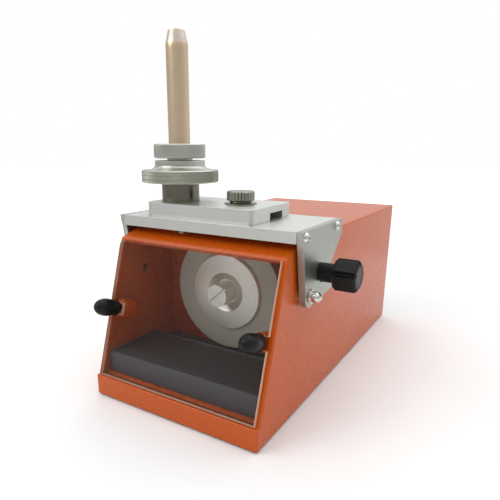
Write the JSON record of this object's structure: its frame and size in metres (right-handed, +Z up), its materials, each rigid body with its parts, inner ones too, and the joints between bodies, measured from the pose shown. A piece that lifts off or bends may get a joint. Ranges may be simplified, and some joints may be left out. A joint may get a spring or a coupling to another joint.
{
  "type": "bench wet grinder",
  "caption": "Bench wet grinder with an upright diamond wheel behind a clear window and a tilting, sliding, rotary rod holder on top.",
  "frame": {"origin": "centre of the four foot holes, on the bench plane", "axes": "+X to the machine's right seen from the front, +Y to the rear, +Z up; the window faces -Y"},
  "size_m": [0.2525, 0.4015, 0.3535],
  "materials": {
    "orange_paint": "satin powder coat",
    "satin_aluminium": "bead-blasted satin",
    "turned_steel": "fine turned",
    "knurled_steel": "knurled, bright",
    "dark_steel": "dark turned",
    "champagne_tube": "fine brushed",
    "bush_bronze": "machined",
    "bright_screws": "polished",
    "black_plastic": "moulded",
    "black_rubber": "matte",
    "tinted_window": "smoke-tinted clear",
    "tray_plastic": "moulded",
    "filter_foam": "open-cell foam",
    "diamond_grit": "fine grit",
    "wheel_hub": "turned satin",
    "motor_paint": "semi-gloss",
    "black_steel": "powder coat",
    "terminal_plastic": "moulded",
    "red_plastic": "moulded"
  },
  "bodies": {
    "root": {"housing_shell": "orange_paint", "base_plate": "black_steel", "rubber_feet": "black_rubber", "chamber_floor": "orange_paint", "bulkhead": "orange_paint", "shaft_seal": "black_rubber", "window_lugs": "orange_paint", "pivot_bolts": "bright_screws", "pivot_spacers": "bright_screws", "tilt_lock_stud": "bright_screws", "motor_body": "motor_paint", "motor_front_bell": "satin_aluminium", "motor_rear_bell": "satin_aluminium", "motor_saddles": "black_steel", "motor_bearings": "turned_steel", "run_capacitor": "satin_aluminium", "terminal_block": "terminal_plastic", "rear_cover": "black_steel", "rear_cover_screws": "bright_screws", "power_inlet": "black_plastic", "switch_frame": "black_plastic"},
    "rocker": {"switch_rocker": "red_plastic"},
    "wheel": {"rotor_shaft": "turned_steel", "rotor_core": "dark_steel", "backing_flange": "turned_steel", "wheel_body": "satin_aluminium", "diamond_ring": "diamond_grit", "hub_flange": "wheel_hub", "hub_screw": "wheel_hub"},
    "bracket": {"bracket_plate": "satin_aluminium", "side_plate_right": "satin_aluminium", "side_plate_left": "satin_aluminium", "bracket_screws": "bright_screws", "guide_key": "turned_steel"},
    "carriage": {"carriage_block": "satin_aluminium", "holder_socket": "dark_steel", "guide_bush": "bush_bronze", "clamp_washer": "bright_screws"},
    "carriage_clamp": {"clamp_knob": "knurled_steel"},
    "holder_slide": {"thrust_washer": "bush_bronze"},
    "holder": {"spindle": "turned_steel", "index_flange": "knurled_steel", "electrode_tube": "champagne_tube", "collet": "dark_steel"},
    "chuck_nut": {"collet_nut": "knurled_steel"},
    "tilt_lock": {"tilt_knob": "black_plastic"},
    "window": {"window_pane": "tinted_window"},
    "left_window_knob": {"window_knob_left": "black_plastic"},
    "right_window_knob": {"window_knob_right": "black_plastic"},
    "tray": {"drip_tray": "tray_plastic", "filter_pad": "filter_foam"}
  },
  "joints": [
    {"name": "wheel_spin", "type": "hinge", "parent": "root", "child": "wheel", "pos_m": [0, -0.09, 0.1], "axis": [0, 1, 0], "continuous": true},
    {"name": "bracket_tilt", "type": "hinge", "parent": "root", "child": "bracket", "pos_m": [0, -0.1195, 0.119], "axis": [1, 0, 0], "range_deg": [0, 18]},
    {"name": "tilt_knob_turn", "type": "hinge", "parent": "root", "child": "tilt_lock", "pos_m": [0.12, -0.0974, 0.1365], "axis": [1, 0, 0], "range_deg": [0, 360]},
    {"name": "carriage_slide", "type": "slide", "parent": "bracket", "child": "carriage", "axis": [1, 0, 0], "range_m": [-0.012, 0.012]},
    {"name": "clamp_knob_turn", "type": "hinge", "parent": "carriage", "child": "carriage_clamp", "pos_m": [0.0145, -0.093, 0.2], "axis": [0, 0, 1], "range_deg": [0, 360]},
    {"name": "holder_lift", "type": "slide", "parent": "carriage", "child": "holder_slide", "axis": [0, 0, 1], "range_m": [0, 0.055]},
    {"name": "holder_spin", "type": "hinge", "parent": "holder_slide", "child": "holder", "pos_m": [-0.055, -0.099, 0.25], "axis": [0, 0, 1], "continuous": true},
    {"name": "collet_nut_turn", "type": "hinge", "parent": "holder", "child": "chuck_nut", "pos_m": [-0.055, -0.099, 0.24], "axis": [0, 0, 1], "range_deg": [0, 360]},
    {"name": "window_off", "type": "slide", "parent": "root", "child": "window", "axis": [0, -0.9542, 0.299], "range_m": [0, 0.14]},
    {"name": "left_knob_turn", "type": "hinge", "parent": "window", "child": "left_window_knob", "pos_m": [-0.082, -0.17157, 0.0893], "axis": [0, -0.9542, 0.299], "range_deg": [0, 720]},
    {"name": "right_knob_turn", "type": "hinge", "parent": "window", "child": "right_window_knob", "pos_m": [0.082, -0.17157, 0.0893], "axis": [0, -0.9542, 0.299], "range_deg": [0, 720]},
    {"name": "tray_pull", "type": "slide", "parent": "root", "child": "tray", "axis": [0, -1, 0], "range_m": [0, 0.07]},
    {"name": "switch_rock", "type": "hinge", "parent": "root", "child": "rocker", "pos_m": [-0.048, 0.191, 0.048], "axis": [1, 0, 0], "range_deg": [0, 24]}
  ],
  "couplings": [
    {"joint": "tray_pull", "follows": "window_off", "ratio": 0.5}
  ]
}
